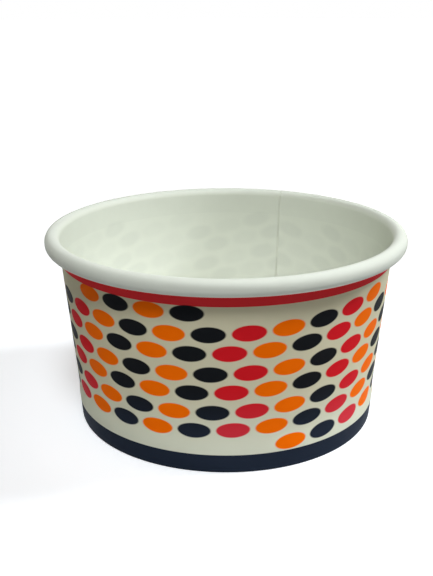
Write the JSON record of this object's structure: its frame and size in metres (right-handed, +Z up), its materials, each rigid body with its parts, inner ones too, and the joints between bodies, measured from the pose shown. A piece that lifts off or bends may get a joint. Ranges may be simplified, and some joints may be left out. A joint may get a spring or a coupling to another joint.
{
  "type": "paper dessert cup",
  "caption": "Squat paper dessert cup with a rolled rim, a lapped side seam, a recessed base held in a folded hem, and rows of staggered ovals printed between two plain bands.",
  "frame": {"origin": "middle of the ring that the cup stands on, at table level", "axes": "+Z up along the cup's axis, -Y towards the side that the picture shows, side seam at the back right, 67 degrees from +X towards +Y"},
  "size_m": [0.095, 0.095, 0.051],
  "materials": {
    "printed_board": "ivory paperboard, coated inside with a glossy film and printed outside",
    "base_board": "ivory paperboard with a glossy film on its upper face"
  },
  "bodies": {
    "root": {"side_wall": "printed_board", "base_disc": "base_board"}
  },
  "joints": []
}
